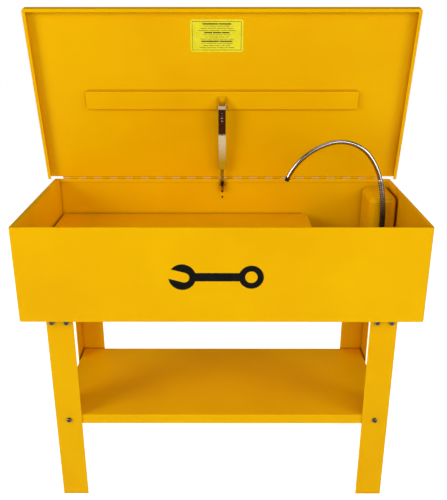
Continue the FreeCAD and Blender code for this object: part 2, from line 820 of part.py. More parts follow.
# ================================================================ lid stay
def stay_top():
    """The stay's pivot on the open lid."""
    a = math.radians(OPEN_ANGLE)
    y = HINGE_Y - STAY_TOP_REACH * math.cos(a) - STAY_TOP_DEPTH * math.sin(a)
    z = HINGE_Z + STAY_TOP_REACH * math.sin(a) - STAY_TOP_DEPTH * math.cos(a)
    return Vec(0, y, z)


def stay_foot():
    """The stay's pivot on the back wall."""
    return Vec(0, STAY_FOOT_Y, STAY_FOOT_Z)


def stay_lean():
    """How far the open stay leans forward of upright, degrees."""
    run = stay_top() - stay_foot()
    return math.degrees(math.atan2(-run.y, run.z))


def along_stay(shape, pivot):
    """Carry a shape drawn upright about the origin onto the stay, about a pivot."""
    turned = shape.copy()
    turned.rotate(Vec(0, 0, 0), X_AXIS, stay_lean())
    turned.translate(pivot)
    return turned


def stay_channel():
    """The outer half: a U section open towards the lid, with a window for the fusible link."""
    front = -CHANNEL_WEB
    back = front + CHANNEL_DEPTH
    half = CHANNEL_HALF
    body = box(-half, half, front, back, -CHANNEL_LENGTH, 0)
    head = rod(Vec(-half, 0, 0), X_AXIS, CHANNEL_HEAD, 2 * half)
    head = head.common(box(-half, half, front, back, -1, CHANNEL_HEAD))
    shape = fused([body, head])
    inside = half - CHANNEL_SHEET
    shape = shape.cut(
        box(-inside, inside, front + CHANNEL_SHEET, back + 1, -CHANNEL_LENGTH - 1, CHANNEL_HEAD + 1)
    )
    shape = shape.cut(box(-inside, inside, front - 1, back, -WINDOW_END, -WINDOW_START))
    shape = shape.cut(rod(Vec(-half - 1, 0, 0), X_AXIS, STAY_PIN_R + HINGE_RUNNING_GAP, 2 * half + 2))
    return along_stay(shape, stay_top())


def link_parts():
    """Two strips soldered where they overlap, riveted under the ends of the channel's window."""
    back_of_web = -CHANNEL_WEB + CHANNEL_SHEET
    middle = back_of_web + LINK_THICKNESS
    back = middle + LINK_THICKNESS
    lap_start, lap_end = LINK_JOIN
    lap_half = LINK_HALF - LAP_INSET
    upper = box(-LINK_HALF, LINK_HALF, back_of_web, middle, -lap_end, LINK_HEAD)
    lower = box(-LINK_HALF, LINK_HALF, back_of_web, middle, -LINK_END, -lap_end - LINK_SPLIT)
    lap = box(-lap_half, lap_half, middle, back, -lap_end - LAP_PAST, -lap_start)
    rivets = []
    for along, radius in LINK_RIVETS:
        through_web = along < WINDOW_START or along > WINDOW_END
        face = -CHANNEL_WEB if through_web else back_of_web
        rivets.append(round_head(Vec(0, face, -along), Y_AXIS * -1, radius, RIVET_HEIGHT))
    place = stay_top()
    return {
        "fusible_link_upper": along_stay(upper, place),
        "fusible_link_lower": along_stay(lower, place),
        "fusible_link_solder_lap": along_stay(lap, place),
        "fusible_link_rivets": along_stay(Part.makeCompound(rivets), place),
    }


def stay_slide():
    """The inner half: a flat bar with a rolled eye at its foot."""
    half = SLIDE_HALF
    bar = box(-half, half, -SLIDE_THICKNESS / 2, SLIDE_THICKNESS / 2, 0, SLIDE_LENGTH)
    eye = rod(Vec(-half, 0, 0), X_AXIS, SLIDE_EYE_R, 2 * half)
    shape = fused([bar, eye])
    shape = shape.cut(rod(Vec(-half - 1, 0, 0), X_AXIS, STAY_PIN_R + HINGE_RUNNING_GAP, 2 * half + 2))
    return along_stay(shape, stay_foot())


def stay_bolt(centre, reach, name):
    """A pivot bolt across the stay with a domed head on the left and a nut on the right."""
    left = centre - X_AXIS * reach
    shank = rod(left, X_AXIS, STAY_PIN_R, 2 * reach + PIVOT_NUT + PIVOT_PROUD)
    head = round_head(left, X_AXIS * -1, *PIVOT_HEAD)
    right = centre + X_AXIS * reach
    bore = rod(right, X_AXIS, STAY_PIN_R + THREAD_CLEARANCE, PIVOT_NUT)
    return {
        name + "_bolt": fused([shank, head]),
        name + "_nut": hexagon(right, X_AXIS, PIVOT_NUT_FLATS, PIVOT_NUT).cut(bore),
    }


def stay_lid_bracket():
    """A folded bracket on the rib: a base plate and two ears for the pivot bolt."""
    face = LID_INNER + RIB_HEIGHT
    ear_out = TOP_EAR_IN + EAR_SHEET
    base = lid_box(-ear_out, ear_out, TOP_BRACKET_NEAR, TOP_BRACKET_FAR, face, face + EAR_SHEET)
    pieces = [base]
    pivot_y = HINGE_Y - STAY_TOP_REACH
    pivot_z = HINGE_Z - STAY_TOP_DEPTH
    outline = (
        (TOP_BRACKET_NEAR, face),
        (STAY_TOP_REACH - EAR_R, STAY_TOP_DEPTH),
        (STAY_TOP_REACH + EAR_R, STAY_TOP_DEPTH),
        (TOP_BRACKET_FAR, face + 3),
        (TOP_BRACKET_FAR, face),
        (TOP_BRACKET_NEAR, face),
    )
    for side in (-1, 1):
        x0 = min(side * TOP_EAR_IN, side * ear_out)
        corners = [Vec(x0, HINGE_Y - reach, HINGE_Z - depth) for reach, depth in outline]
        pieces.append(Part.Face(Part.makePolygon(corners)).extrude(X_AXIS * EAR_SHEET))
        pieces.append(rod(Vec(x0, pivot_y, pivot_z), X_AXIS, EAR_R, EAR_SHEET))
    bracket = fused(pieces)
    hole = rod(
        Vec(-20, pivot_y, pivot_z), X_AXIS, STAY_PIN_R + HINGE_RUNNING_GAP, 40
    )
    return opened(bracket.cut(hole))


def stay_tank_bracket():
    """A plate screwed inside the back wall with two ears for the lower pivot bolt."""
    wall = HALF_WIDTH - SHEET
    plate_top = RIM_Z - HEM_HEIGHT - 2
    half = FOOT_PLATE_HALF
    pieces = [box(-half, half, wall - EAR_SHEET, wall, FOOT_PLATE_BOTTOM, plate_top)]
    for side in (-1, 1):
        x0 = min(side * FOOT_EAR_IN, side * (FOOT_EAR_IN + EAR_SHEET))
        pieces.append(
            box(
                x0,
                x0 + EAR_SHEET,
                STAY_FOOT_Y,
                wall,
                STAY_FOOT_Z - FOOT_EAR_DROP,
                STAY_FOOT_Z + FOOT_EAR_R,
            )
        )
        pieces.append(rod(Vec(x0, STAY_FOOT_Y, STAY_FOOT_Z), X_AXIS, FOOT_EAR_R, EAR_SHEET))
        edge_y = STAY_FOOT_Y - FOOT_EAR_R
        low_z = STAY_FOOT_Z - FOOT_EAR_DROP + FOOT_EAR_R
        pieces.append(box(x0, x0 + EAR_SHEET, edge_y, STAY_FOOT_Y, low_z, STAY_FOOT_Z))
        pieces.append(rod(Vec(x0, STAY_FOOT_Y, low_z), X_AXIS, FOOT_EAR_R, EAR_SHEET))
    bracket = fused(pieces)
    hole = rod(
        Vec(-20, STAY_FOOT_Y, STAY_FOOT_Z), X_AXIS, STAY_PIN_R + HINGE_RUNNING_GAP, 40
    )
    bracket = bracket.cut(hole)
    for z in FOOT_SCREW_ZS:
        bracket = bracket.cut(rod(Vec(0, wall - CUT_PAST, z), Y_AXIS, FOOT_HOLE_R, 2 * CUT_PAST))
    return bracket


def stay_bracket_screws():
    """Two round-headed screws that fix the lower bracket, with their nuts outside the wall."""
    face = HALF_WIDTH - SHEET - EAR_SHEET
    screws = []
    for z in FOOT_SCREW_ZS:
        seat = Vec(0, face, z)
        shank = rod(seat, Y_AXIS, FOOT_SCREW_R, SHEET + EAR_SHEET + FOOT_NUT + PIVOT_PROUD)
        screws.append(fused([round_head(seat, Y_AXIS * -1, *FOOT_SCREW_HEAD), shank]))
    nuts = []
    for z in FOOT_SCREW_ZS:
        seat = Vec(0, HALF_WIDTH, z)
        bore = rod(seat, Y_AXIS, FOOT_SCREW_R + THREAD_CLEARANCE, FOOT_NUT)
        nuts.append(hexagon(seat, Y_AXIS, FOOT_NUT_FLATS, FOOT_NUT).cut(bore))
    return {
        "stay_bracket_screws": Part.makeCompound(screws),
        "stay_bracket_nuts": Part.makeCompound(nuts),
    }


# ================================================================ pump and its cover
def cover_bends(block, foot, back):
    """The edges of a block that are bent, which is all but those at its foot and its back."""
    return [
        edge
        for edge in block.Edges
        if not all(v.Point.z < foot + 0.01 for v in edge.Vertexes)
        and not all(v.Point.y > back - 0.01 for v in edge.Vertexes)
    ]


def pump_cover():
    """A drawn sheet cover in the rear right corner, open at its back and foot."""
    outer = box(COVER_LEFT, COVER_RIGHT, COVER_FRONT, COVER_BACK, FLOOR_TOP, COVER_TOP)
    outer = outer.makeFillet(COVER_ROUND, cover_bends(outer, FLOOR_TOP, COVER_BACK))
    wall = SHEET
    past_back = COVER_BACK + 2 * CUT_PAST
    past_foot = FLOOR_TOP - 2 * CUT_PAST
    inner = box(
        COVER_LEFT + wall,
        COVER_RIGHT - wall,
        COVER_FRONT + wall,
        past_back,
        past_foot,
        COVER_TOP - wall,
    )
    inner = inner.makeFillet(COVER_ROUND - wall, cover_bends(inner, past_foot, past_back))
    shell = outer.cut(inner)
    tab_top = FLOOR_TOP + SHEET
    for x, y in COVER_STUDS:
        tab = box(
            x - COVER_TAB, COVER_LEFT + wall, y - COVER_TAB, y + COVER_TAB, FLOOR_TOP, tab_top
        )
        shell = shell.fuse(tab)
        shell = shell.cut(rod(Vec(x, y, FLOOR_TOP - 1), Z_AXIS, STUD_HOLE_R, SHEET + 2))
    for index in range(INTAKE_SLOTS):
        y0 = COVER_FRONT + INTAKE_START + index * INTAKE_PITCH
        slot = box(
            COVER_LEFT - wall,
            COVER_LEFT + 2 * wall,
            y0,
            y0 + INTAKE_WIDTH,
            FLOOR_TOP + INTAKE_LOW,
            FLOOR_TOP + INTAKE_HIGH,
        )
        shell = shell.cut(slot)
    outlet_start = Vec(SPOUT_X, COVER_FRONT - wall, OUTLET_Z)
    outlet = rod(outlet_start, Y_AXIS, OUTLET_R + OUTLET_HOLE_GAP, 3 * wall)
    return shell.cut(outlet).removeSplitter()


def cover_fixings():
    """Studs welded to the floor, and the nuts that hold the cover's tabs down on them."""
    pieces = []
    for x, y in COVER_STUDS:
        pieces.append(rod(Vec(x, y, FLOOR_TOP), Z_AXIS, STUD_R, STUD_LENGTH))
        seat = Vec(x, y, FLOOR_TOP + SHEET)
        bore = rod(seat, Z_AXIS, STUD_R + THREAD_CLEARANCE, STUD_NUT)
        pieces.append(hexagon(seat, Z_AXIS, STUD_NUT_FLATS, STUD_NUT).cut(bore))
    return Part.makeCompound(pieces)


def pump_volute():
    """The pump's front casing: a round chamber with a suction eye and a delivery spigot."""
    front = Vec(PUMP_X, VOLUTE_FRONT, PUMP_Z)
    chamber = rod(front, Y_AXIS, VOLUTE_R, VOLUTE_LENGTH)
    spigot_start = Vec(SPOUT_X, COVER_FRONT - SPIGOT_PROUD, OUTLET_Z)
    spigot = rod(
        spigot_start, Y_AXIS, OUTLET_R, VOLUTE_FRONT + VOLUTE_LENGTH - spigot_start.y
    )
    shape = fused([chamber, spigot])
    cavity_start = front + Y_AXIS * VOLUTE_WALL
    cavity_length = VOLUTE_LENGTH - 2 * VOLUTE_WALL
    shape = shape.cut(rod(cavity_start, Y_AXIS, VOLUTE_CAVITY_R, cavity_length))
    shape = shape.cut(rod(front - Y_AXIS, Y_AXIS, SUCTION_EYE_R, VOLUTE_WALL + 2))
    shape = shape.cut(rod(cavity_start, Y_AXIS, SHAFT_R + SHAFT_CLEARANCE, VOLUTE_LENGTH))
    delivery_length = VOLUTE_FRONT + VOLUTE_WALL + cavity_length - spigot_start.y
    return shape.cut(rod(spigot_start, Y_AXIS, OUTLET_BORE, delivery_length))


def pump_motor():
    front = VOLUTE_FRONT + VOLUTE_LENGTH
    body = box(
        PUMP_X - MOTOR_HALF,
        PUMP_X + MOTOR_HALF,
        front,
        MOTOR_BACK,
        PUMP_BASE_TOP,
        PUMP_Z + VOLUTE_R,
    )
    body = body.makeFillet(MOTOR_ROUND, [e for e in body.Edges if e.CenterOfMass.y > front + 1
                                         and e.CenterOfMass.z > PUMP_BASE_TOP + 1])
    well = rod(Vec(PUMP_X, front - 1, PUMP_Z), Y_AXIS, SHAFT_R + SHAFT_CLEARANCE, SHAFT_LENGTH + 2)
    return body.cut(well)


def pump_impeller():
    """Hub, straight vanes and the shaft that runs back into the motor."""
    start = Vec(PUMP_X, VOLUTE_FRONT + VOLUTE_WALL + IMPELLER_GAP, PUMP_Z)
    length = VOLUTE_LENGTH - 2 * VOLUTE_WALL - 2 * IMPELLER_GAP
    pieces = [rod(start, Y_AXIS, IMPELLER_HUB_R, length)]
    for index in range(IMPELLER_VANES):
        vane = box(
            PUMP_X,
            PUMP_X + IMPELLER_R,
            start.y,
            start.y + length,
            PUMP_Z - VANE_HALF,
            PUMP_Z + VANE_HALF,
        )
        vane.rotate(start, Y_AXIS, 360 * index / IMPELLER_VANES)
        pieces.append(vane)
    shaft_length = length + IMPELLER_GAP + VOLUTE_WALL + SHAFT_LENGTH
    pieces.append(rod(start, Y_AXIS, SHAFT_R, shaft_length))
    return fused(pieces)


def pump_mounts():
    """The pump's base plate, its four rubber feet and the gland where its cord would enter."""
    base = box(
        PUMP_X - PUMP_BASE_HALF,
        PUMP_X + PUMP_BASE_HALF,
        VOLUTE_FRONT - 2,
        MOTOR_BACK + 2,
        PUMP_BASE_TOP - PUMP_BASE,
        PUMP_BASE_TOP,
    )
    base = base.makeFillet(PUMP_BASE_ROUND, upright_edges(base))
    feet = []
    foot_height = PUMP_BASE_TOP - PUMP_BASE - FLOOR_TOP
    half = PUMP_BASE_HALF - PUMP_FOOT_INSET
    for x in (PUMP_X - half, PUMP_X + half):
        for y in (VOLUTE_FRONT + PUMP_FOOT_INSET, MOTOR_BACK - PUMP_FOOT_INSET):
            feet.append(rod(Vec(x, y, FLOOR_TOP), Z_AXIS, PUMP_FOOT_R, foot_height))
    gland_seat = Vec(PUMP_X, MOTOR_BACK - MOTOR_HALF, PUMP_Z + VOLUTE_R)
    gland = hexagon(gland_seat, Z_AXIS, GLAND_FLATS, GLAND_HEX)
    gland = gland.fuse(rod(gland_seat, Z_AXIS, GLAND_R, GLAND_HEIGHT))
    gland = gland.cut(rod(gland_seat + Z_AXIS * GLAND_FLOOR, Z_AXIS, GLAND_BORE, GLAND_HEIGHT))
    return {
        "pump_base": base,
        "pump_feet": Part.makeCompound(feet),
        "pump_cord_gland": gland.removeSplitter(),
    }


# ================================================================ spout
def outlet_elbow():
    """A brass elbow from the pump's spigot up to the hose."""
    corner = Vec(SPOUT_X, SPOUT_Y, OUTLET_Z)
    reach = COVER_FRONT - SPIGOT_PROUD - SPOUT_Y
    collar_top = HOSE_START_Z - HOSE_NUT_FLOOR
    solid = fused([
        rod(corner, Y_AXIS, ELBOW_R, reach),
        Part.makeSphere(ELBOW_R, corner),
        rod(corner, Z_AXIS, ELBOW_R, collar_top - OUTLET_Z),
        rod(Vec(SPOUT_X, SPOUT_Y, collar_top), Z_AXIS, HOSE_BORE - 0.1, ELBOW_BARB),
    ])
    solid = solid.cut(rod(corner, Y_AXIS, OUTLET_BORE, reach + 1))
    return solid.cut(rod(corner, Z_AXIS, OUTLET_BORE - 0.5, 3 * ELBOW_BARB))


def hose_nut():
    seat = Vec(SPOUT_X, SPOUT_Y, HOSE_START_Z - HOSE_NUT_FLOOR)
    hose_start = Vec(SPOUT_X, SPOUT_Y, HOSE_START_Z)
    shape = hexagon(seat, Z_AXIS, HOSE_NUT_FLATS, HOSE_NUT)
    shape = shape.cut(rod(seat, Z_AXIS, HOSE_BORE, HOSE_NUT))
    return shape.cut(rod(hose_start, Z_AXIS, HOSE_R + THREAD_CLEARANCE, HOSE_NUT))


def spout_direction(heading):
    """The direction of travel in the spout's own upright plane."""
    return Vec(-math.sin(heading), 0, math.cos(heading))


def arc_solid(at, heading, radius, degrees, outer, bore):
    """A round bar or tube bent along an arc that turns towards -X, from a point and heading."""
    inward = Vec(-math.cos(heading), 0, -math.sin(heading))
    centre = at + inward * radius
    direction = spout_direction(heading)

    def swept(r):
        disc = Part.Face(Part.Wire(Part.makeCircle(r, at, direction)))
        return disc.revolve(centre, Y_AXIS * -1, degrees)

    solid = swept(outer)
    if bore:
        solid = solid.cut(swept(bore))
    return solid


def arc_end(at, heading, radius, degrees):
    """Where an arc of the spout ends, and its heading there."""
    inward = Vec(-math.cos(heading), 0, -math.sin(heading))
    centre = at + inward * radius
    turned = heading + math.radians(degrees)
    outward = Vec(math.cos(turned), 0, math.sin(turned))
    return centre + outward * radius, turned


def hose_arc_to(along):
    """The degrees of the hose's arc used up at a distance along the hose."""
    return math.degrees((along - HOSE_STRAIGHT) / HOSE_ARC[0])


def spout_parts():
    """The hose below and above its bending length, the bright tube and its rubber tip."""
    start = Vec(SPOUT_X, SPOUT_Y, HOSE_START_Z)
    straight_end = start + Z_AXIS * HOSE_STRAIGHT
    radius, turn = HOSE_ARC
    before = hose_arc_to(BEND_AT)
    after = hose_arc_to(BEND_AT + BEND_GAP)
    straight = tube(start, Z_AXIS, HOSE_R, HOSE_BORE, HOSE_STRAIGHT)
    lower = arc_solid(straight_end, 0.0, radius, before, HOSE_R, HOSE_BORE)
    ball = Part.makeSphere(BEND_BALL_R, arc_end(straight_end, 0.0, radius, before)[0])
    at, heading = arc_end(straight_end, 0.0, radius, after)
    upper = arc_solid(at, heading, radius, turn - after, HOSE_R, HOSE_BORE)
    at, heading = arc_end(straight_end, 0.0, radius, turn)
    direction = spout_direction(heading)
    collar = tube(at, direction, HOSE_R + COLLAR_LIP, TUBE_R, COLLAR_LENGTH)
    tubes = []
    for radius, turn in TUBE_ARCS:
        tubes.append(arc_solid(at, heading, radius, turn, TUBE_R, TUBE_BORE))
        at, heading = arc_end(at, heading, radius, turn)
    tip = arc_solid(at, heading, TUBE_ARCS[-1][0], TIP_TURN, TIP_R, TUBE_BORE - 1)
    collar = collar.cut(tubes[0])
    return {
        "hose_lower": fused([straight, lower, ball]),
        "hose_upper": upper,
        "spout_collar": collar,
        "spout_tube": fused(tubes),
        "spout_tip": tip,
    }


# ================================================================ front decal
def front_decal():
    """A plain black spanner on the front wall."""
    y = -HALF_WIDTH - FILM
    left = Vec(DECAL_CENTRE_X - DECAL_HALF + DECAL_JAW_R, y, DECAL_CENTRE_Z)
    right = Vec(DECAL_CENTRE_X + DECAL_HALF - DECAL_RING_R, y, DECAL_CENTRE_Z)
    pieces = [
        box(left.x, right.x, y, y + FILM, left.z - DECAL_HANDLE, left.z + DECAL_HANDLE),
        rod(left, Y_AXIS, DECAL_JAW_R, FILM),
        rod(right, Y_AXIS, DECAL_RING_R, FILM),
    ]
    shape = fused(pieces)
    slot = box(left.x - 60, left.x + 8, y - 1, y + 2, left.z - DECAL_JAW_SLOT, left.z + DECAL_JAW_SLOT)
    slot = slot.fuse(rod(left + X_AXIS * 6 - Y_AXIS, Y_AXIS, DECAL_JAW_SLOT, 3))
    slot.rotate(left, Y_AXIS, 15)
    return shape.cut(slot).cut(rod(right - Y_AXIS, Y_AXIS, DECAL_RING_HOLE, 3))


# ================================================================ everything
def build():
    """Every sub-part, by the name of its node."""
    nodes = {}
    nodes.update(basin_panels())
    nodes["tank_floor"] = tank_floor()
    nodes.update(drain_parts())
    nodes["cord_grommet"] = cord_grommet()
    nodes["work_shelf"] = work_shelf()
    nodes["work_shelf_support_front"] = shelf_support(-1)
    nodes["work_shelf_support_back"] = shelf_support(1)
    nodes.update(legs_and_brackets())
    nodes["lower_shelf"] = lower_shelf()
    nodes.update(frame_fasteners())
    nodes["lid_pan"] = lid_pan()
    nodes["lid_rib"] = lid_rib()
    nodes["label_plate"] = label_plate()
    nodes.update(hinge_parts())
    nodes["stay_channel"] = stay_channel()
    nodes.update(link_parts())
    nodes["stay_slide"] = stay_slide()
    nodes["stay_lid_bracket"] = stay_lid_bracket()
    nodes["stay_tank_bracket"] = stay_tank_bracket()
    nodes.update(stay_bolt(stay_top(), TOP_EAR_IN + EAR_SHEET, "stay_top"))
    nodes.update(stay_bolt(stay_foot(), FOOT_EAR_IN + EAR_SHEET, "stay_foot"))
    nodes.update(stay_bracket_screws())
    nodes["pump_cover"] = pump_cover()
    nodes["pump_cover_studs_and_nuts"] = cover_fixings()
    nodes["pump_volute"] = pump_volute()
    nodes["pump_motor"] = pump_motor()
    nodes["pump_impeller"] = pump_impeller()
    nodes.update(pump_mounts())
    nodes["outlet_elbow"] = outlet_elbow()
    nodes["hose_nut"] = hose_nut()
    nodes.update(spout_parts())
    nodes["front_decal"] = front_decal()
    return nodes


def export(nodes):
    os.makedirs("parts", exist_ok=True)
    for name, shape in nodes.items():
        if not shape.isValid() or not shape.Solids:
            raise ValueError("bad shape: " + name)
        shape.exportStep("parts/" + name + ".step")
        print(name, len(shape.Solids), round(shape.Volume))


export(build())
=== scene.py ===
import json
import math
import random

import bmesh
import bpy
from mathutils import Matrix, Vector


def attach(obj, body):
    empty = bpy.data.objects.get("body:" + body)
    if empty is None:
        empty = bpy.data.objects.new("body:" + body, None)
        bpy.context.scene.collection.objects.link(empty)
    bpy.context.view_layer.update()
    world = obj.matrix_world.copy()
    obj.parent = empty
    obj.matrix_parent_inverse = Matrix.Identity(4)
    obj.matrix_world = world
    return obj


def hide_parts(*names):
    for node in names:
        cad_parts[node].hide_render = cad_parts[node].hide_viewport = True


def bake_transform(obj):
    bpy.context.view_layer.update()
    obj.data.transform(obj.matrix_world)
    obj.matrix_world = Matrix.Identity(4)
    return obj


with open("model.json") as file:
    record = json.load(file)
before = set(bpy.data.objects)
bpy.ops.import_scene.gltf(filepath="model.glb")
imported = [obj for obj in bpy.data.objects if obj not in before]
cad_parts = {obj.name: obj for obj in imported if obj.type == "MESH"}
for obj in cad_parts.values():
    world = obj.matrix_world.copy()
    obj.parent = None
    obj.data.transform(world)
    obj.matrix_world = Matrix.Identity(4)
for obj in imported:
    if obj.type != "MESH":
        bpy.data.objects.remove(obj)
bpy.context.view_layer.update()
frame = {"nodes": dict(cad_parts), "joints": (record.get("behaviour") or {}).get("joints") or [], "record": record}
NODES = frame["nodes"]

MM = 0.001
ACROSS = Vector((1, 0, 0))
BACKWARD = Vector((0, 1, 0))


# ================================================================ the frame's own places
def joint(name):
    """A joint's record, by name."""
    return next(j for j in frame["joints"] if j["name"] == name)


HINGE = Vector(joint("lid_hinge")["pos_m"])
HOSE_BEND = Vector(joint("spout_fold")["pos_m"])
OPEN_ANGLE = math.radians(joint("lid_hinge")["range_deg"][1])


def lid_point(x, reach, depth):
    """A point on the open lid: reach from the hinge along it, depth into it from its outer side."""
    along = Vector((0, -math.cos(OPEN_ANGLE), math.sin(OPEN_ANGLE)))
    inward = Vector((0, -math.sin(OPEN_ANGLE), -math.cos(OPEN_ANGLE)))
    return Vector((x, HINGE.y, HINGE.z)) + along * reach + inward * depth


# ================================================================ node helpers
EVEN = (1.0, 1.0, 1.0)
MIX_A, MIX_B, MIX_RESULT = 6, 7, 2  # the colour sockets of a Mix node
BEVEL_SAMPLES = 4
FLAT_DOT, EDGE_DOT = 0.99, 0.9  # how well the rounded and true normals agree on a flat and at an edge
CREVICE_SAMPLES = 8
OPEN_SKY, SHUT_SKY = 0.85, 0.3  # how much of the surroundings an open face and a crevice see


class Nodes:
    """A material's node tree, with short ways to add and join nodes."""

    def __init__(self, name):
        self.material = bpy.data.materials.new(name)
        self.material.use_nodes = True
        self.tree = self.material.node_tree
        self.shader = self.tree.nodes["Principled BSDF"]
        self.coords = self.tree.nodes.new("ShaderNodeTexCoord").outputs["Object"]

    def add(self, kind, **settings):
        node = self.tree.nodes.new(kind)
        for key, value in settings.items():
            setattr(node, key, value)
        return node

    def link(self, output, target):
        self.tree.links.new(output, target)

    def noise(self, scale, detail, stretch=EVEN):
        """Noise over the object's own metres; scale is in cells per metre."""
        mapping = self.add("ShaderNodeMapping")
        mapping.inputs["Scale"].default_value = stretch
        self.link(self.coords, mapping.inputs["Vector"])
        noise = self.add("ShaderNodeTexNoise")
        noise.inputs["Scale"].default_value = scale
        noise.inputs["Detail"].default_value = detail
        self.link(mapping.outputs["Vector"], noise.inputs["Vector"])
        return noise.outputs["Fac"]

    def spread(self, value, low, high, to_low=0.0, to_high=1.0):
        """Map a range of a value onto another range."""
        node = self.add("ShaderNodeMapRange")
        node.inputs["From Min"].default_value = low
        node.inputs["From Max"].default_value = high
        node.inputs["To Min"].default_value = to_low
        node.inputs["To Max"].default_value = to_high
        self.link(value, node.inputs["Value"])
        return node.outputs["Result"]

    def patches(self, scale, detail, low, high, to_low=0.0, to_high=1.0, stretch=EVEN):
        """Noise with the levels from low to high mapped onto another range."""
        return self.spread(self.noise(scale, detail, stretch), low, high, to_low, to_high)

    def level(self, axis_low, axis_high):
        """0 to 1 between two heights of the object's own metres."""
        axes = self.add("ShaderNodeSeparateXYZ")
        self.link(self.coords, axes.inputs["Vector"])
        return self.spread(axes.outputs["Z"], axis_low, axis_high)

    def height(self, name):
        """0 at the foot of a CAD node's mesh and 1 at its top."""
        levels = [vertex.co.z for vertex in NODES[name].data.vertices]
        return self.level(min(levels), max(levels))

    def mix(self, factor, first, second):
        """Mix two colours, each a colour or an output."""
        node = self.add("ShaderNodeMix", data_type="RGBA")
        self.link(factor, node.inputs["Factor"])
        for value, index in ((first, MIX_A), (second, MIX_B)):
            if isinstance(value, tuple):
                node.inputs[index].default_value = value
            else:
                self.link(value, node.inputs[index])
        return node.outputs[MIX_RESULT]

    def edge_wear_and_glint(self, tone, other_tone, radius, share):
        """Show another colour along the edges of the mesh: rubbed wear on most finishes, a painted glint on zinc.
        """
        bevel = self.add("ShaderNodeBevel")
        bevel.samples = BEVEL_SAMPLES
        bevel.inputs["Radius"].default_value = radius
        geometry = self.add("ShaderNodeNewGeometry")
        dot = self.add("ShaderNodeVectorMath", operation="DOT_PRODUCT")
        self.link(bevel.outputs["Normal"], dot.inputs[0])
        self.link(geometry.outputs["Normal"], dot.inputs[1])
        edges = self.spread(dot.outputs["Value"], FLAT_DOT, EDGE_DOT, 0.0, share)
        return self.mix(edges, tone, other_tone)

    def crevice_shade(self, tone, shade_tone, reach, share):
        """Painted shade: show another colour deep in corners and gaps narrower than the reach."""
        shade = self.add("ShaderNodeAmbientOcclusion")
        shade.samples = CREVICE_SAMPLES
        shade.inputs["Distance"].default_value = reach
        crevices = self.spread(shade.outputs["AO"], OPEN_SKY, SHUT_SKY, 0.0, share)
        return self.mix(crevices, tone, shade_tone)

    def colour(self, output):
        self.link(output, self.shader.inputs["Base Color"])

    def roughness(self, smooth, rough, scale, detail=3.0, low=0.3, high=0.7, stretch=EVEN):
        """Let the roughness wander between two values, in patches."""
        spots = self.patches(scale, detail, low, high, smooth, rough, stretch)
        self.link(spots, self.shader.inputs["Roughness"])

    def bump(self, *layers):
        """Stack layers of noise as bumps, each (scale, detail, height in metres)."""
        normal = None
        for scale, detail, distance, *stretch in layers:
            node = self.add("ShaderNodeBump")
            node.inputs["Distance"].default_value = distance
            self.link(self.noise(scale, detail, *stretch), node.inputs["Height"])
            if normal is not None:
                self.link(normal, node.inputs["Normal"])
            normal = node.outputs["Normal"]
        self.link(normal, self.shader.inputs["Normal"])

    def set(self, **values):
        """Set constants on the shader's own sockets, such as metallic or specular_ior_level."""
        for key, value in values.items():
            socket = key.replace("_", " ").title().replace("Ior", "IOR")
            self.shader.inputs[socket].default_value = value


SRGB_KNEE, SRGB_SLOPE, SRGB_OFFSET, SRGB_POWER = 0.04045, 12.92, 0.055, 2.4


def linear(channel):
    """One display channel, 0 to 1, as a scene-linear value."""
    if channel <= SRGB_KNEE:
        return channel / SRGB_SLOPE
    return ((channel + SRGB_OFFSET) / (1 + SRGB_OFFSET)) ** SRGB_POWER


def rgb(hex_colour):
    """A display colour as scene-linear values."""
    return (*(linear(int(hex_colour[i:i + 2], 16) / 255) for i in (0, 2, 4)), 1.0)


# ================================================================ materials
GOLD_TINT = (1.0, 0.8, 0.15, 1.0)  # the paint's own gloss is tinted, so highlights stay golden
DRAWN_LINES = (1.0, 1.0, 0.05)
RUN_DOWN = (1.0, 1.0, 0.4)
HOSE_SHADED_Z, HOSE_LIT_Z = 885.0 * MM, 985.0 * MM  # painted shade: the hose darkens towards its foot, down in the basin


def paint(name, base, deep, rough=0.34, shine=0.22):
    """Thick golden powder coat: orange peel, slow shade changes, fine dust, rubbed edges, and painted shade
    darkening it in corners and gaps.
    """
    m = Nodes(name)
    tone = m.mix(m.patches(scale=3.5, detail=2.0, low=0.35, high=0.7), base, deep)
    dust = m.patches(scale=260.0, detail=2.0, low=0.68, high=0.78, to_high=0.14)
    tone = m.mix(dust, tone, rgb("FFC800"))
    tone = m.edge_wear_and_glint(tone, rgb("FFC400"), radius=1.2 * MM, share=0.3)
    # painted shade: the paint turns brown in corners and gaps, where shade falls
    m.colour(m.crevice_shade(tone, rgb("9A4A00"), reach=14.0 * MM, share=0.7))
    m.roughness(rough - 0.05, rough + 0.08, scale=14.0, detail=4.0, high=0.75, stretch=RUN_DOWN)
    ripple = (26.0, 1.0, 0.6 * MM)
    peel = (420.0, 2.0, 0.06 * MM)
    m.bump(ripple, peel)
    m.set(metallic=0.0, specular_ior_level=shine, specular_tint=GOLD_TINT)
    return m.material


def zinc(name, base, worn, rough):
    """Zinc plate: spangle, fine drawing lines, edges brightened by a painted glint, and corners darkened by
    painted shade.
    """
    m = Nodes(name)
    tone = m.mix(m.patches(scale=220.0, detail=3.0, low=0.35, high=0.65), base, worn)
    # painted shade: corners and gaps go near black
    tone = m.crevice_shade(tone, rgb("16140F"), reach=4.0 * MM, share=0.9)
    # painted glint: edges go near white
    m.colour(m.edge_wear_and_glint(tone, rgb("F4F5F6"), radius=0.8 * MM, share=0.8))
    m.roughness(rough - 0.08, rough + 0.12, scale=90.0)
    m.bump((900.0, 2.0, 0.02 * MM, DRAWN_LINES))
    m.set(metallic=1.0)
    return m.material


def dark_metal(name, base, other_tone):
    """Oil-blackened steel with bare metal showing at its edges."""
    m = Nodes(name)
    tone = m.mix(m.patches(scale=140.0, detail=4.0, low=0.45, high=0.7), base, other_tone)
    m.colour(m.edge_wear_and_glint(tone, rgb("8C877C"), radius=0.5 * MM, share=1.0))
    m.roughness(0.35, 0.6, scale=200.0)
    m.bump((500.0, 3.0, 0.04 * MM))
    m.set(metallic=0.85)
    return m.material


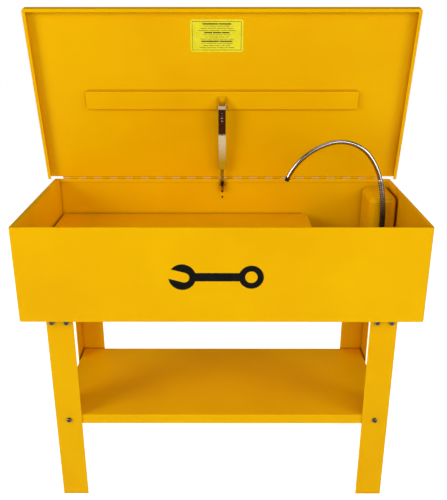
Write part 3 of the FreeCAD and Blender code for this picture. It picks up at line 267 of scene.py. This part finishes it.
def stay_strip(name, node):
    """Pale plated channel strip: golden at its foot, with painted shade making it dark brown round the link at its
    top.
    """
    m = Nodes(name)
    height = m.height(node)
    tone = m.mix(m.spread(height, 0.12, 0.42), rgb("C8A818"), rgb("E9E8C4"))
    grime = m.patches(scale=90.0, detail=4.0, low=0.5, high=0.8, to_high=0.3)
    tone = m.mix(grime, tone, rgb("A59A50"))
    # painted shade: dark brown over the upper part of the strip, round the link
    tone = m.mix(m.spread(height, 0.53, 0.57), tone, rgb("45160A"))
    tone = m.mix(m.spread(height, 0.92, 0.94), tone, rgb("CFC9A8"))
    m.colour(m.edge_wear_and_glint(tone, rgb("6A4A14"), radius=0.6 * MM, share=0.6))
    m.roughness(0.3, 0.5, scale=200.0)
    m.bump((500.0, 3.0, 0.03 * MM))
    m.set(metallic=0.1)
    return m.material


def stay_slide(name, node):
    """Golden slide strip, with painted shade blackening the eye at its foot."""
    m = Nodes(name)
    patches = m.patches(scale=140.0, detail=4.0, low=0.45, high=0.7)
    tone = m.mix(patches, rgb("9A7C1C"), rgb("C8A430"))
    # painted shade: the foot of the slide, round its eye, goes near black
    tone = m.mix(m.spread(m.height(node), 0.17, 0.1), tone, rgb("220D04"))
    m.colour(m.edge_wear_and_glint(tone, rgb("6A4A14"), radius=0.5 * MM, share=0.5))
    m.roughness(0.35, 0.6, scale=200.0)
    m.bump((500.0, 3.0, 0.04 * MM))
    m.set(metallic=0.5)
    return m.material


def fusible_link(name):
    """Dark red-brown heat-stained link strip, rubbed along its edges."""
    m = Nodes(name)
    stain = m.patches(scale=160.0, detail=4.0, low=0.4, high=0.75)
    tone = m.mix(stain, rgb("3A1204"), rgb("5C2A10"))
    m.colour(m.edge_wear_and_glint(tone, rgb("8A5A34"), radius=0.5 * MM, share=0.5))
    m.roughness(0.4, 0.6, scale=240.0)
    m.bump((600.0, 3.0, 0.03 * MM))
    m.set(metallic=0.3, specular_ior_level=0.4)
    return m.material


def brass(name):
    """Yellow brass with brown tarnish."""
    m = Nodes(name)
    tarnish = m.patches(scale=70.0, detail=4.0, low=0.4, high=0.75)
    m.colour(m.mix(tarnish, rgb("D6B25E"), rgb("8E6A2E")))
    m.roughness(0.22, 0.42, scale=120.0)
    m.bump((700.0, 2.0, 0.02 * MM))
    m.set(metallic=1.0)
    return m.material


def chrome(name):
    """Bright plated tube with faint handling marks."""
    m = Nodes(name)
    marks = m.patches(scale=45.0, detail=4.0, low=0.5, high=0.8)
    m.colour(m.mix(marks, rgb("CCCED1"), rgb("B4B7BB")))
    m.roughness(0.06, 0.14, scale=60.0, detail=4.0, low=0.35, high=0.75)
    m.bump((650.0, 2.0, 0.01 * MM))
    m.set(metallic=1.0)
    return m.material


def hose_steel(name):
    """Ribbed metal hose: bright crests, grooves darkened by painted shade, and painted shade darkening it towards
    the sump.
    """
    m = Nodes(name)
    # painted shade: the crests darken from the lit top of the hose to its shaded foot
    crest = m.mix(m.level(HOSE_SHADED_Z, HOSE_LIT_Z), rgb("4A4640"), rgb("D6D3CC"))
    grime = m.patches(scale=180.0, detail=4.0, low=0.4, high=0.75, to_high=0.6)
    crest = m.mix(grime, crest, rgb("4E4A44"))
    groove = m.add("ShaderNodeAttribute", attribute_name="groove")
    # painted shade: the grooves go near black
    m.colour(m.mix(m.spread(groove.outputs["Fac"], 0.03, 0.35), crest, rgb("0A0907")))
    m.roughness(0.2, 0.42, scale=200.0)
    m.bump((500.0, 3.0, 0.03 * MM))
    m.set(metallic=0.9)
    return m.material


def rubber(name, base, dusty):
    """Matt rubber with a pale bloom."""
    m = Nodes(name)
    m.colour(m.mix(m.patches(scale=80.0, detail=4.0, low=0.45, high=0.8), base, dusty))
    m.roughness(0.45, 0.7, scale=150.0)
    m.bump((900.0, 3.0, 0.05 * MM))
    m.set(specular_ior_level=0.4)
    return m.material


def moulded(name, base):
    """Fine-textured moulded plastic with grey scuffs."""
    m = Nodes(name)
    scuffs = m.patches(scale=50.0, detail=5.0, low=0.55, high=0.85, to_high=0.5)
    m.colour(m.mix(scuffs, base, rgb("77777A")))
    m.roughness(0.37, 0.55, scale=120.0)
    m.bump((1400.0, 2.0, 0.04 * MM))
    return m.material


def film(name, base, shade, rough=0.28, shine=0.5):
    """Printed self-adhesive film: slight tonal mottle, a few creases and a soft gloss."""
    m = Nodes(name)
    m.colour(m.mix(m.patches(scale=30.0, detail=4.0, low=0.4, high=0.75), base, shade))
    m.roughness(rough - 0.06, rough + 0.1, scale=40.0, detail=4.0, low=0.35, high=0.75)
    creases = (55.0, 2.0, 0.08 * MM)
    grain = (1100.0, 2.0, 0.01 * MM)
    m.bump(creases, grain)
    m.set(specular_ior_level=shine)
    return m.material


PAINT = paint("golden_paint", rgb("F9BE00"), rgb("F4B500"))
COVER_PAINT = paint("glossy_golden_paint", rgb("F9BE00"), rgb("F4B500"), rough=0.2, shine=0.7)
STAY_STRIP = stay_strip("stay_strip", "stay_channel")
STAY_SLIDE = stay_slide("stay_slide_strip", "stay_slide")
DARK_SCREW = dark_metal("browned_steel", rgb("4A3218"), rgb("7A5A30"))
CHROME = chrome("chrome_plate")
HOSE = hose_steel("hose_steel")
RUBBER = rubber("black_rubber", rgb("1E1E1F"), rgb("3A3A3A"))
LABEL_BLACK = film("label_black", rgb("1B1B18"), rgb("2A2A26"))

BY_SLOT = {
    "yellow_paint": PAINT,
    "zinc": zinc("zinc_plate", rgb("6C6E70"), rgb("3C3E40"), rough=0.24),
    "dark_strip": fusible_link("fusible_link"),
    "solder": zinc("solder", rgb("8D8A84"), rgb("6A6760"), rough=0.45),
    "brass": brass("brass"),
    "chrome": CHROME,
    "hose_steel": HOSE,
    "black_rubber": RUBBER,
    "pump_plastic": moulded("black_plastic", rgb("26272A")),
    "impeller_plastic": moulded("pale_plastic", rgb("D9D8CE")),
    "label_film": film("label_yellow", rgb("F6EE12"), rgb("EDE200")),
    "decal_film": film("decal_black", rgb("070707"), rgb("101011"), rough=0.22, shine=0.12),
}

BY_NODE = {
    "pump_cover": COVER_PAINT,
    "stay_channel": STAY_STRIP,
    "stay_slide": STAY_SLIDE,
    "stay_foot_bolt": DARK_SCREW,
    "stay_bracket_screws": DARK_SCREW,
}


def dress_cad_nodes():
    """Give every CAD node a procedural material: its own one, or else that of its slot."""
    slots = {part["node"]: part["material_slot"] for part in frame["record"]["subparts"]}
    for name, obj in NODES.items():
        obj.data.materials.clear()
        obj.data.materials.append(BY_NODE.get(name, BY_SLOT[slots[name]]))


# ================================================================ mesh helpers
MERGE_DISTANCE = 1e-6
TURNED_SHARP = 50  # degrees: where faces meet at more than this, the edge stays sharp
WOUND_SHARP = 70
PRINT_SHARP = 40


def finish_mesh(name, mesh, material, body, sharp):
    """Turn a bmesh into a piece that rides on a body, with smooth faces and sharp corners."""
    data = bpy.data.meshes.new(name)
    bmesh.ops.remove_doubles(mesh, verts=mesh.verts, dist=MERGE_DISTANCE)
    bmesh.ops.recalc_face_normals(mesh, faces=mesh.faces)
    limit = math.radians(sharp)
    for edge in mesh.edges:
        edge.smooth = len(edge.link_faces) == 2 and edge.calc_face_angle(0) < limit
    for face in mesh.faces:
        face.smooth = True
    mesh.to_mesh(data)
    mesh.free()
    data.materials.append(material)
    obj = bpy.data.objects.new(name, data)
    bpy.context.scene.collection.objects.link(obj)
    if body:
        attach(obj, body)
    return obj


def loft(mesh, rings):
    """Skin a list of equal rings of points into a tube with closed ends."""
    rows = [[mesh.verts.new(point) for point in ring] for ring in rings]
    count = len(rows[0])
    for lower, upper in zip(rows, rows[1:]):
        for i in range(count):
            j = (i + 1) % count
            mesh.faces.new((lower[i], lower[j], upper[j], upper[i]))
    mesh.faces.new(list(reversed(rows[0])))
    mesh.faces.new(rows[-1])
    return rows


def ring_points(centre, first, second, radius, count):
    """Points evenly round a circle in the plane of two directions."""
    angles = [2 * math.pi * i / count for i in range(count)]
    return [
        centre + first * (radius * math.cos(angle)) + second * (radius * math.sin(angle))
        for angle in angles
    ]


# ================================================================ spout
HOSE_STRAIGHT = 94.0 * MM
HOSE_CURVE = (544.0 * MM, 14.8)  # each arc is its radius and its turn in degrees
HOSE_TO_BEND = 136.0 * MM
TUBE_ARCS = ((233.0 * MM, 23.1), (124.0 * MM, 67.0), (208.0 * MM, 50.6))
TIP_TURN = 3.6
HOSE_R = 9.2 * MM
TUBE_R = 7.8 * MM
TIP_R = 8.8 * MM
BEND_REACH = 55.0 * MM  # how far each side of the fold make_hose takes a point along the hose
HOSE_WINDING = {"pitch": 6.4 * MM, "groove": 1.5 * MM, "sides": 28, "steps_per_turn": 9}
TUBE_WINDING = {"pitch": 3.0 * MM, "groove": 0.12 * MM, "sides": 24, "steps_per_turn": 6}
GROOVE_NARROWING = 1.5  # more than 1 makes the grooves narrower than the crests
TURNED_SIDES = 32
PATH_SPARE = 1e-9


class Path:
    """A straight run and then arcs in the spout's upright plane, each turning towards -X."""

    def __init__(self, start, heading, arcs, straight=0.0):
        self.runs = []
        self.length = 0.0
        self.end = start
        self.end_heading = heading
        if straight:
            self.extend(None, straight)
        for radius, degrees in arcs:
            self.extend(radius, radius * math.radians(degrees))

    def extend(self, radius, length):
        """Add a run to the end of the path."""
        self.runs.append((self.end, self.end_heading, radius, length))
        self.end, self.end_heading = self.along(self.end, self.end_heading, radius, length)
        self.length += length

    @staticmethod
    def along(at, heading, radius, distance):
        """The point and heading at a distance along a run, which is straight with no radius."""
        if radius is None:
            return at + Vector((-math.sin(heading), 0, math.cos(heading))) * distance, heading
        centre = at - Vector((math.cos(heading), 0, math.sin(heading))) * radius
        turned = heading + distance / radius
        return centre + Vector((math.cos(turned), 0, math.sin(turned))) * radius, turned

    def at(self, distance):
        """The point and heading at a distance along the path."""
        for start, heading, radius, length in self.runs:
            if distance <= length + PATH_SPARE:
                return self.along(start, heading, radius, distance)
            distance -= length
        return self.end, self.end_heading


def hose_start():
    """Where the hose leaves its nut, worked back from the middle of its bending length."""
    radius = HOSE_CURVE[0]
    turned = (HOSE_TO_BEND - HOSE_STRAIGHT) / radius
    arc = Vector((math.cos(turned) - 1, 0, math.sin(turned))) * radius
    return HOSE_BEND - arc - Vector((0, 0, HOSE_STRAIGHT))


HOSE_PATH = Path(hose_start(), 0.0, (HOSE_CURVE,), HOSE_STRAIGHT)
TUBE_PATH = Path(HOSE_PATH.end, HOSE_PATH.end_heading, TUBE_ARCS)


def wound_tube(mesh, path, radius, pitch, groove, sides, steps_per_turn):
    """A tube wound from strip: its skin has a helical groove of the given pitch and depth."""
    steps = int(path.length / pitch * steps_per_turn)
    rings = []
    dips = []
    for step in range(steps + 1):
        distance = path.length * step / steps
        at, heading = path.at(distance)
        across = Vector((math.cos(heading), 0, math.sin(heading)))
        ring = []
        for i in range(sides):
            angle = 2 * math.pi * i / sides
            phase = (distance / pitch - i / sides) % 1.0
            dip = max(0.0, math.cos(2 * math.pi * phase)) ** GROOVE_NARROWING
            dips.append(dip)
            r = radius - groove * dip
            ring.append(at + across * (r * math.cos(angle)) + BACKWARD * (r * math.sin(angle)))
        rings.append(ring)
    layer = mesh.verts.layers.float.new("groove")
    rows = loft(mesh, rings)
    for vertex, dip in zip((v for row in rows for v in row), dips):
        vertex[layer] = dip


def make_hose():
    """The dark ribbed hose, in one piece across the place where it bends."""
    mesh = bmesh.new()
    wound_tube(mesh, HOSE_PATH, HOSE_R, **HOSE_WINDING)
    hose = finish_mesh("ribbed_hose", mesh, HOSE, None, WOUND_SHARP)
    before = HOSE_PATH.at(HOSE_TO_BEND - BEND_REACH)[0]
    after = HOSE_PATH.at(HOSE_TO_BEND + BEND_REACH)[0]
    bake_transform(hose)
    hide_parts("hose_lower", "hose_upper")


def make_tube():
    """The bright wound tube of the spout."""
    mesh = bmesh.new()
    wound_tube(mesh, TUBE_PATH, TUBE_R, **TUBE_WINDING)
    tube = finish_mesh("spout_wound_tube", mesh, CHROME, "spout", WOUND_SHARP)
    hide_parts("spout_tube")


def turned_piece(mesh, path, profile):
    """A round piece along a path, whose profile is (distance, radius) pairs in millimetres."""
    rings = []
    for distance, radius in profile:
        at, heading = path.at(distance * MM)
        across = Vector((math.cos(heading), 0, math.sin(heading)))
        rings.append(ring_points(at, across, BACKWARD, radius * MM, TURNED_SIDES))
    loft(mesh, rings)


def make_tip():
    """The rubber nozzle: a cuff over the tube, a waist, and a rounded lip round its hole."""
    path = Path(TUBE_PATH.end, TUBE_PATH.end_heading, ((TUBE_ARCS[-1][0], TIP_TURN),))
    end = path.length / MM
    r = TIP_R / MM
    tube = TUBE_R / MM
    cuff = [(0.0, tube - 0.2), (0.0, r - 0.7), (0.7, r), (3.6, r), (4.4, r - 0.9)]
    waist_and_lip = [(end - 1.6, r - 1.4), (end - 0.5, r - 1.9), (end, r - 2.7)]
    hole = [(end - 0.6, r - 3.6), (end - 5.0, r - 4.0)]
    mesh = bmesh.new()
    turned_piece(mesh, path, cuff + waist_and_lip + hole)
    tip = finish_mesh("spout_nozzle", mesh, RUBBER, "spout", TURNED_SHARP)
    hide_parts("spout_tip")


def make_collar():
    """The crimped end of the hose, rolled down onto the bright tube."""
    hose = HOSE_R / MM
    tube = TUBE_R / MM
    r = hose + 0.2
    band = [(0.0, hose - 1.5), (0.0, r - 0.5), (0.6, r), (2.0, r)]
    groove = [(2.5, r - 0.7), (3.3, r - 0.7)]
    rolled_end = [(3.8, r - 0.1), (4.8, r - 0.4), (6.0, tube + 0.8), (6.0, tube - 0.3)]
    mesh = bmesh.new()
    turned_piece(mesh, TUBE_PATH, band + groove + rolled_end)
    collar = finish_mesh("spout_joint_collar", mesh, HOSE, "spout", TURNED_SHARP)
    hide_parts("spout_collar")


# ================================================================ hinge rivets
RIVET_R = 3.0 * MM
RIVET_RISE = 0.9 * MM
RIVET_SINK = 0.1 * MM  # how deep a head's rim sits in the leaf
RIVET_GAPS = 18
RIVET_SPAN = 1116.0 * MM
RIVET_REACH = 15.0 * MM  # from the hinge axis, along each leaf
RIVET_RINGS = 5
RIVET_SIDES = 16
RIVET_DOME = 0.94  # how much of the quarter turn up to the crown a head is built from
LEAF_FACE = 2.2 * MM  # from the hinge axis to the outer face of a leaf


def rivet(mesh, at, outward):
    """A low domed rivet head standing on a face."""
    second = outward.cross(ACROSS)
    rings = []
    for step in range(RIVET_RINGS + 1):
        angle = math.pi / 2 * RIVET_DOME * step / RIVET_RINGS
        centre = at + outward * (RIVET_RISE * math.sin(angle) - RIVET_SINK)
        rings.append(ring_points(centre, ACROSS, second, RIVET_R * math.cos(angle), RIVET_SIDES))
    loft(mesh, rings)


def tank_leaf_point(x):
    return Vector((x, HINGE.y - LEAF_FACE, HINGE.z - RIVET_REACH))


def lid_leaf_point(x):
    return lid_point(x, RIVET_REACH, LEAF_FACE)


def make_hinge_rivets():
    """A row of painted rivet heads along each leaf of the hinge."""
    off_the_lid = (lid_point(0, 0, 0) - lid_point(0, 0, MM)).normalized()
    rows = {"tank": (tank_leaf_point, BACKWARD), "lid": (lid_leaf_point, off_the_lid)}
    for body, (place, outward) in rows.items():
        mesh = bmesh.new()
        for i in range(RIVET_GAPS + 1):
            rivet(mesh, place(RIVET_SPAN * (i / RIVET_GAPS - 0.5)), outward)
        finish_mesh(f"hinge_rivets_{body}", mesh, PAINT, body, TURNED_SHARP)


# ================================================================ label
LABEL_CENTRE_X = -16.5 * MM
LABEL_MIDDLE = 499.0 * MM  # from the hinge, along the lid
LABEL_SIZE = (168.0 * MM, 102.0 * MM)
LABEL_FACE = 5.0 * MM  # how deep in the lid the label's face lies
LABEL_EDGE = 6.0 * MM  # from the label's edge to its border line
LABEL_BORDER = 1.3 * MM
LABEL_INK = 0.06 * MM
LABEL_SEED = 4
LABEL_ROWS = 12
LABEL_HEADING_EVERY = 4  # one bolder row, then three thin ones
LABEL_HEADING_TALL = 3.6 * MM
LABEL_LINE_TALL = 1.3 * MM
LABEL_HEADING_BARS = (2, 3)
LABEL_LINE_BARS = (4, 6)
LABEL_ROW_SHARE = (0.45, 0.75)  # of the label's width
LABEL_BAR_SPREAD = (0.6, 1.4)
LABEL_BAR_GAP = 2.2 * MM


def label_mark(mesh, x0, x1, v0, v1):
    """One printed mark: x across, v down from the label's top edge."""
    left = LABEL_CENTRE_X - LABEL_SIZE[0] / 2
    top = LABEL_MIDDLE + LABEL_SIZE[1] / 2
    corners = [(x0, v0), (x1, v0), (x1, v1), (x0, v1)]
    under, over = (
        [mesh.verts.new(lid_point(left + x, top - v, depth)) for x, v in corners]
        for depth in (LABEL_FACE, LABEL_FACE + LABEL_INK)
    )
    mesh.faces.new(over)
    mesh.faces.new(list(reversed(under)))
    for i in range(4):
        j = (i + 1) % 4
        mesh.faces.new((under[i], under[j], over[j], over[i]))


def label_border(mesh):
    """Four bars round the label, inside its edge."""
    wide, tall = LABEL_SIZE
    outer = LABEL_EDGE
    inner = LABEL_EDGE + LABEL_BORDER
    label_mark(mesh, outer, wide - outer, outer, inner)
    label_mark(mesh, outer, wide - outer, tall - inner, tall - outer)
    label_mark(mesh, outer, inner, inner, tall - inner)
    label_mark(mesh, wide - inner, wide - outer, inner, tall - inner)


def label_row(mesh, middle, bold, rng):
    """One centred row of bars, at a distance below the label's top edge."""
    tall = LABEL_HEADING_TALL if bold else LABEL_LINE_TALL
    bars = rng.randint(*(LABEL_HEADING_BARS if bold else LABEL_LINE_BARS))
    width = LABEL_SIZE[0] * rng.uniform(*LABEL_ROW_SHARE)
    lengths = [rng.uniform(*LABEL_BAR_SPREAD) for _ in range(bars)]
    unit = (width - LABEL_BAR_GAP * (bars - 1)) / sum(lengths)
    x = (LABEL_SIZE[0] - width) / 2
    for length in lengths:
        label_mark(mesh, x, x + length * unit, middle - tall / 2, middle + tall / 2)
        x += length * unit + LABEL_BAR_GAP


def make_label_print():
    """A border and evenly spaced rows of plain bars in place of wording."""
    mesh = bmesh.new()
    label_border(mesh)
    rng = random.Random(LABEL_SEED)
    margin = LABEL_EDGE + LABEL_BORDER
    pitch = (LABEL_SIZE[1] - 2 * margin) / (LABEL_ROWS + 1)
    for row in range(LABEL_ROWS):
        label_row(mesh, margin + pitch * (row + 1), row % LABEL_HEADING_EVERY == 0, rng)
    finish_mesh("label_print", mesh, LABEL_BLACK, "lid", PRINT_SHARP)


# ================================================================ studio
WHITE = (1.0, 1.0, 1.0, 1.0)
AMBIENT = 0.17
GLOSS_AMBIENT = 0.01
FLOOR_GLOW = 0.85
FLOOR_HALF = 14.0
FLOOR_TONES = ((0.93, 0.93, 0.93, 1.0), (0.9, 0.9, 0.9, 1.0))
FIRST_SHADER, SECOND_SHADER = 1, 2  # the sockets of a Mix Shader node

# each lamp: where it hangs, what it points at, its width and height, and its watts
LAMPS = {
    "left_box": ((-3.3, -2.4, 2.0), (0, 0, 0.8), (1.8, 2.2), 79),
    "right_box": ((3.3, -2.4, 1.9), (0, 0, 0.8), (1.8, 2.2), 57),
    "front_box": ((0.9, -3.4, 2.2), (0, 0, 0.8), (2.2, 0.9), 27),
    "overhead": ((0.0, -0.6, 3.4), (0, 0.1, 0.9), (2.4, 1.4), 5),
    "back_box": ((0.0, 3.2, 1.0), (0, 0, 0.9), (2.4, 1.2), 30),
}
UNREFLECTED = ("back_box",)  # lamps that light faces but leave no sheen

CAMERA_PLACE = (0.00815, -2.0144, 1.5633)
CAMERA_TILT = math.radians(69.31)
CAMERA_TURN = math.radians(0.09)
CAMERA_LENS = 47.16
CAMERA_SENSOR = 36.0


def soft_lamp(name, location, target, size, power):
    """A broad lamp pointed at a target."""
    data = bpy.data.lights.new(name, "AREA")
    data.shape = "RECTANGLE"
    data.size, data.size_y = size
    data.energy = power
    lamp = bpy.data.objects.new(name, data)
    lamp.location = location
    lamp.rotation_euler = (Vector(target) - Vector(location)).to_track_quat("-Z", "Y").to_euler()
    lamp.visible_glossy = name not in UNREFLECTED
    bpy.context.scene.collection.objects.link(lamp)


def white_surround():
    """A world that is white behind the object, lights it gently and looks dark in its gloss."""
    world = bpy.data.worlds.new("white_surround")
    bpy.context.scene.world = world
    world.use_nodes = True
    tree = world.node_tree
    seen = tree.nodes["Background"]
    seen.inputs["Color"].default_value = WHITE
    seen.inputs["Strength"].default_value = 1.0
    lighting = tree.nodes.new("ShaderNodeBackground")
    lighting.inputs["Color"].default_value = WHITE
    rays = tree.nodes.new("ShaderNodeLightPath")
    strength = tree.nodes.new("ShaderNodeMapRange")
    strength.inputs["To Min"].default_value = AMBIENT
    strength.inputs["To Max"].default_value = GLOSS_AMBIENT
    tree.links.new(rays.outputs["Is Glossy Ray"], strength.inputs["Value"])
    tree.links.new(strength.outputs["Result"], lighting.inputs["Strength"])
    choose = tree.nodes.new("ShaderNodeMixShader")
    tree.links.new(rays.outputs["Is Camera Ray"], choose.inputs["Fac"])
    tree.links.new(lighting.outputs["Background"], choose.inputs[FIRST_SHADER])
    tree.links.new(seen.outputs["Background"], choose.inputs[SECOND_SHADER])
    tree.links.new(choose.outputs["Shader"], tree.nodes["World Output"].inputs["Surface"])


def floor_material():
    """Pale grey that glows to white where the camera sees it."""
    m = Nodes("pale_floor")
    m.colour(m.mix(m.patches(scale=2.0, detail=3.0, low=0.3, high=0.7), *FLOOR_TONES))
    m.roughness(0.6, 0.75, scale=8.0)
    m.bump((60.0, 3.0, 0.3 * MM))
    rays = m.add("ShaderNodeLightPath")
    glow = m.spread(rays.outputs["Is Camera Ray"], 0.0, 1.0, to_high=FLOOR_GLOW)
    m.link(glow, m.shader.inputs["Emission Strength"])
    m.set(emission_color=WHITE, specular_ior_level=0.2)
    return m.material


def pale_floor():
    """A plain square floor centred under the object."""
    mesh = bpy.data.meshes.new("floor")
    half = FLOOR_HALF
    corners = [(-half, -half, 0), (half, -half, 0), (half, half, 0), (-half, half, 0)]
    mesh.from_pydata(corners, [], [(0, 1, 2, 3)])
    floor = bpy.data.objects.new("floor", mesh)
    bpy.context.scene.collection.objects.link(floor)
    mesh.materials.append(floor_material())


def studio():
    """Broad soft lamps to each side, in front, overhead and behind."""
    white_surround()
    pale_floor()
    for name, settings in LAMPS.items():
        soft_lamp(name, *settings)


def camera():
    """A camera in front of the object and a little above it."""
    data = bpy.data.cameras.new("camera")
    data.sensor_width = CAMERA_SENSOR
    data.lens = CAMERA_LENS
    lens = bpy.data.objects.new("camera", data)
    lens.location = CAMERA_PLACE
    lens.rotation_euler = (CAMERA_TILT, 0.0, CAMERA_TURN)
    bpy.context.scene.collection.objects.link(lens)
    bpy.context.scene.camera = lens


bpy.context.scene.view_settings.view_transform = "Standard"
dress_cad_nodes()
make_hose()
make_tube()
make_tip()
make_collar()
make_label_print()
make_hinge_rivets()
studio()
camera()
